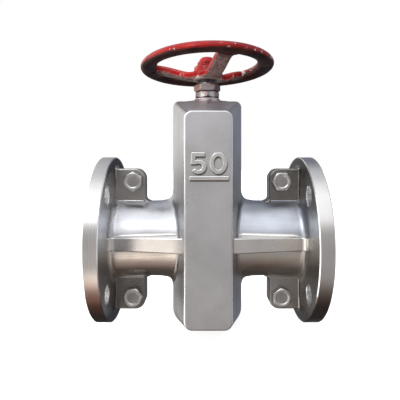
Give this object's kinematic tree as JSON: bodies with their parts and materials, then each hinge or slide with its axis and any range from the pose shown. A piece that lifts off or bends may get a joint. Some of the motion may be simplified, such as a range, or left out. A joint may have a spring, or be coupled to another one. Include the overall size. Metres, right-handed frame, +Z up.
{
  "type": "pinch valve",
  "caption": "Flanged pinch valve: a handwheel and stem squeeze a rubber sleeve shut between two bars inside a tall split casting.",
  "frame": {"origin": "where the bore axis crosses the stem axis, at the centre of the sleeve", "axes": "+X along the pipe, -Y to the front with the raised size number, +Z up the stem to the handwheel"},
  "size_m": [0.2072, 0.1596, 0.2674],
  "materials": {
    "cast_body": "bead-blasted casting with polished edges and turned flanges",
    "sleeve_rubber": "satin",
    "bar_iron": "oiled",
    "bronze": "turned",
    "dark_screw": "blackened",
    "bright_steel": "turned",
    "fastener_steel": "plain",
    "packing_rubber": "matt",
    "wheel_red": "gloss enamel"
  },
  "bodies": {
    "housing": {"front_housing": "cast_body", "rear_housing": "cast_body", "rubber_sleeve": "sleeve_rubber", "thrust_washer_lower": "bronze", "thrust_washer_upper": "bronze", "stem_bushing": "bright_steel", "gland_nut": "bright_steel", "lug_bolt_left_upper": "fastener_steel", "lug_washer_left_upper": "fastener_steel", "lug_nut_left_upper": "fastener_steel", "lug_bolt_left_lower": "fastener_steel", "lug_washer_left_lower": "fastener_steel", "lug_nut_left_lower": "fastener_steel", "lug_bolt_right_upper": "fastener_steel", "lug_washer_right_upper": "fastener_steel", "lug_nut_right_upper": "fastener_steel", "lug_bolt_right_lower": "fastener_steel", "lug_washer_right_lower": "fastener_steel", "lug_nut_right_lower": "fastener_steel", "stem_packing": "packing_rubber"},
    "stem_and_wheel": {"stem": "bright_steel", "handwheel": "wheel_red", "handwheel_washer": "wheel_red", "handwheel_nut": "wheel_red"},
    "upper_bar": {"upper_pinch_bar": "bar_iron", "upper_bar_nut": "bronze", "upper_nut_screw": "dark_screw"},
    "lower_bar": {"lower_pinch_bar": "bar_iron", "crosshead": "bar_iron", "crosshead_nut": "bronze", "crosshead_screw": "dark_screw", "tie_rod_front": "bright_steel", "tie_rod_rear": "bright_steel", "rod_nut_front_upper": "fastener_steel", "rod_nut_front_lower": "fastener_steel", "rod_nut_rear_upper": "fastener_steel", "rod_nut_rear_lower": "fastener_steel"}
  },
  "joints": [
    {"name": "handwheel_turn", "type": "hinge", "parent": "housing", "child": "stem_and_wheel", "pos_m": [0, 0, 0.163], "axis": [0, 0, -1], "range_deg": [0, 2250]},
    {"name": "upper_bar_slide", "type": "slide", "parent": "housing", "child": "upper_bar", "axis": [0, 0, -1], "range_m": [0, 0.025], "deforming": ["rubber_sleeve"]},
    {"name": "lower_bar_slide", "type": "slide", "parent": "housing", "child": "lower_bar", "axis": [0, 0, 1], "range_m": [0, 0.025]}
  ],
  "couplings": [
    {"joint": "upper_bar_slide", "follows": "handwheel_turn", "m_per_rad": 0.0006366},
    {"joint": "lower_bar_slide", "follows": "handwheel_turn", "m_per_rad": 0.0006366}
  ]
}
